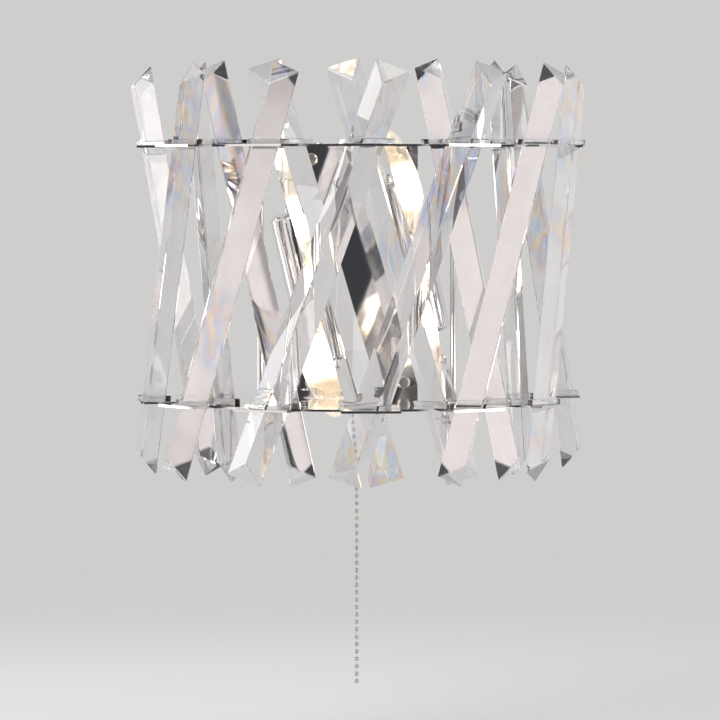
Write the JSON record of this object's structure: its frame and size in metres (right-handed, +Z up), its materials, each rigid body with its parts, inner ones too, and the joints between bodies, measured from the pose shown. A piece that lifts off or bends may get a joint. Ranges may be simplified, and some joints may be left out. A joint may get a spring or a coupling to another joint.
{
  "type": "wall sconce",
  "caption": "Wall sconce with a drum of leaning crystal prisms held by two mirror plates round two clear bulbs, with a bead pull chain.",
  "frame": {"origin": "on the wall plane, midway between the two fixing slots of the wall bracket", "axes": "+Z up, +Y into the wall, the light stands out to -Y, +X to the viewer's right"},
  "size_m": [0.3217, 0.2495, 0.4455],
  "materials": {
    "crystal": "clear polished crystal",
    "clear_clip": "clear moulded collar",
    "mirror_chrome": "mirror polish",
    "rod_chrome": "polished rod",
    "screw_nickel": "nickel-plated screw",
    "box_paint": "silver-grey enamel",
    "zinc_steel": "zinc-plated sheet",
    "bushing_rubber": "moulded rubber",
    "terminal_plastic": "moulded thermoset",
    "sleeve_chrome": "polished drawn cup",
    "socket_ceramic": "unglazed white",
    "socket_brass": "plain brass",
    "cable_sheath": "white PVC sheath",
    "bulb_glass": "clear blown glass",
    "bulb_cap": "nickel-washed brass",
    "filament": "lit tungsten",
    "switch_plastic": "moulded case",
    "spring_steel": "drawn spring wire",
    "plunger_plastic": "moulded nylon",
    "chain_metal": "nickel-plated bead chain"
  },
  "bodies": {
    "fixture": {"outer_crystal_1": "crystal", "outer_crystal_2": "crystal", "outer_crystal_3": "crystal", "outer_crystal_4": "crystal", "outer_crystal_5": "crystal", "outer_crystal_6": "crystal", "inner_crystal_1": "crystal", "inner_crystal_2": "crystal", "inner_crystal_3": "crystal", "inner_crystal_4": "crystal", "inner_crystal_5": "crystal", "inner_crystal_6": "crystal", "side_crystal_1": "crystal", "side_crystal_2": "crystal", "outer_clips_top": "clear_clip", "outer_clips_bottom": "clear_clip", "inner_clips_top": "clear_clip", "inner_clips_bottom": "clear_clip", "side_clips_top": "clear_clip", "side_clips_bottom": "clear_clip", "top_plate": "mirror_chrome", "bottom_plate": "mirror_chrome", "plate_screws": "screw_nickel", "support_rod_left": "rod_chrome", "support_rod_right": "rod_chrome", "rod_cap_screws": "screw_nickel", "back_box": "box_paint", "mirror_plate": "mirror_chrome", "mirror_screws": "screw_nickel", "wall_bracket": "zinc_steel", "side_screws": "screw_nickel", "cable_bushing": "bushing_rubber", "terminal_block": "terminal_plastic", "earth_screw": "screw_nickel", "arm_nuts": "zinc_steel", "lamp_cables": "cable_sheath", "pull_switch": "switch_plastic", "chain_bell": "rod_chrome", "bell_nut": "rod_chrome", "return_spring": "spring_steel", "lamp_sleeve_left": "sleeve_chrome", "sleeve_cap_nut_left": "sleeve_chrome", "socket_left": "socket_ceramic", "socket_contacts_left": "socket_brass", "lamp_arm_left": "sleeve_chrome", "lamp_sleeve_right": "sleeve_chrome", "sleeve_cap_nut_right": "sleeve_chrome", "socket_right": "socket_ceramic", "socket_contacts_right": "socket_brass", "lamp_arm_right": "sleeve_chrome"},
    "bulb_left": {"bulb_glass_left": "bulb_glass", "bulb_cap_left": "bulb_cap", "bulb_filament_left": "filament"},
    "bulb_right": {"bulb_glass_right": "bulb_glass", "bulb_cap_right": "bulb_cap", "bulb_filament_right": "filament"},
    "chain_pull": {"switch_plunger": "plunger_plastic", "chain_top": "chain_metal"},
    "chain_middle_length": {"chain_middle": "chain_metal"},
    "chain_lower_length": {"chain_lower": "chain_metal"}
  },
  "joints": [
    {"name": "bulb_left_turn", "type": "hinge", "parent": "fixture", "child": "bulb_left", "pos_m": [-0.049, -0.092, 0.042], "axis": [0.225, 0, -0.9744], "range_deg": [0, 1080]},
    {"name": "bulb_right_turn", "type": "hinge", "parent": "fixture", "child": "bulb_right", "pos_m": [0.049, -0.092, -0.042], "axis": [-0.225, 0, 0.9744], "range_deg": [0, 1080]},
    {"name": "chain_pull_down", "type": "slide", "parent": "fixture", "child": "chain_pull", "axis": [0, 0, -1], "range_m": [0, 0.008], "stiffness_N_per_m": 600, "springref_m": -0.002, "deforming": ["return_spring"]},
    {"name": "chain_swing_sideways", "type": "hinge", "parent": "chain_pull", "child": "chain_middle_length", "pos_m": [0, -0.022, -0.1038], "axis": [0, 1, 0], "range_deg": [-25, 25]},
    {"name": "chain_swing_forward", "type": "hinge", "parent": "chain_middle_length", "child": "chain_lower_length", "pos_m": [0, -0.022, -0.17335], "axis": [-1, 0, 0], "range_deg": [-12, 35]}
  ]
}
